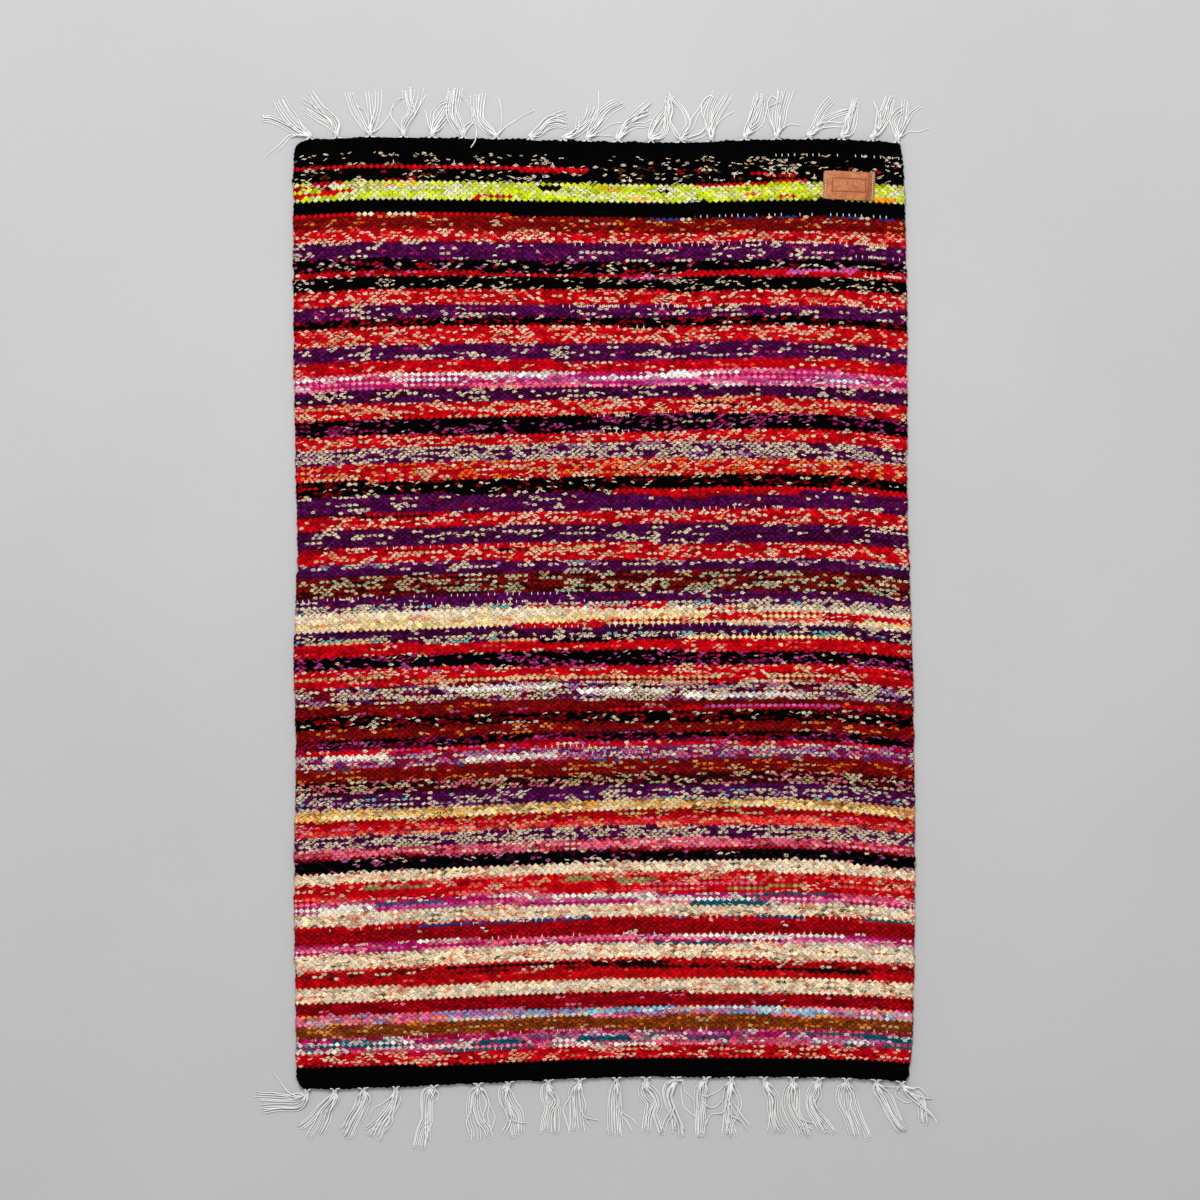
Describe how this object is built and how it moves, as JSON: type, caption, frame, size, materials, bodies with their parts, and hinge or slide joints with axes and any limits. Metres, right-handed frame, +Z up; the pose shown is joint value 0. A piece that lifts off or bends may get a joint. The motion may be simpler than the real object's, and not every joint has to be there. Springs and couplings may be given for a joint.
{
  "type": "doormat",
  "caption": "Flat handwoven cotton doormat with uneven multicoloured stripes, knotted tassels along both short ends and a small bare leather label.",
  "frame": {"origin": "middle of the body's flat underside, on the floor", "axes": "+Z up from the floor, +Y along the length towards the end with the label, +X to the right of it"},
  "size_m": [0.657, 1.0358, 0.0079],
  "materials": {
    "woven_cotton": "weft-faced plain weave of mixed cotton yarns in red, purple, black, cream and pink stripes",
    "warp_cotton": "loose off-white cotton warp yarns, knotted in bunches",
    "tan_leather": "tan leather with fine grain and cream thread along its short sides"
  },
  "bodies": {
    "root": {"rug_body": "woven_cotton", "label": "tan_leather", "tassel_top_01": "warp_cotton", "tassel_top_02": "warp_cotton", "tassel_top_03": "warp_cotton", "tassel_top_04": "warp_cotton", "tassel_top_05": "warp_cotton", "tassel_top_06": "warp_cotton", "tassel_top_07": "warp_cotton", "tassel_top_08": "warp_cotton", "tassel_top_09": "warp_cotton", "tassel_top_10": "warp_cotton", "tassel_top_11": "warp_cotton", "tassel_top_12": "warp_cotton", "tassel_top_13": "warp_cotton", "tassel_top_14": "warp_cotton", "tassel_top_15": "warp_cotton", "tassel_top_16": "warp_cotton", "tassel_top_17": "warp_cotton", "tassel_top_18": "warp_cotton", "tassel_top_19": "warp_cotton", "tassel_top_20": "warp_cotton", "tassel_bottom_01": "warp_cotton", "tassel_bottom_02": "warp_cotton", "tassel_bottom_03": "warp_cotton", "tassel_bottom_04": "warp_cotton", "tassel_bottom_05": "warp_cotton", "tassel_bottom_06": "warp_cotton", "tassel_bottom_07": "warp_cotton", "tassel_bottom_08": "warp_cotton", "tassel_bottom_09": "warp_cotton", "tassel_bottom_10": "warp_cotton", "tassel_bottom_11": "warp_cotton", "tassel_bottom_12": "warp_cotton", "tassel_bottom_13": "warp_cotton", "tassel_bottom_14": "warp_cotton", "tassel_bottom_15": "warp_cotton", "tassel_bottom_16": "warp_cotton", "tassel_bottom_17": "warp_cotton", "tassel_bottom_18": "warp_cotton", "tassel_bottom_19": "warp_cotton", "tassel_bottom_20": "warp_cotton"}
  },
  "joints": []
}
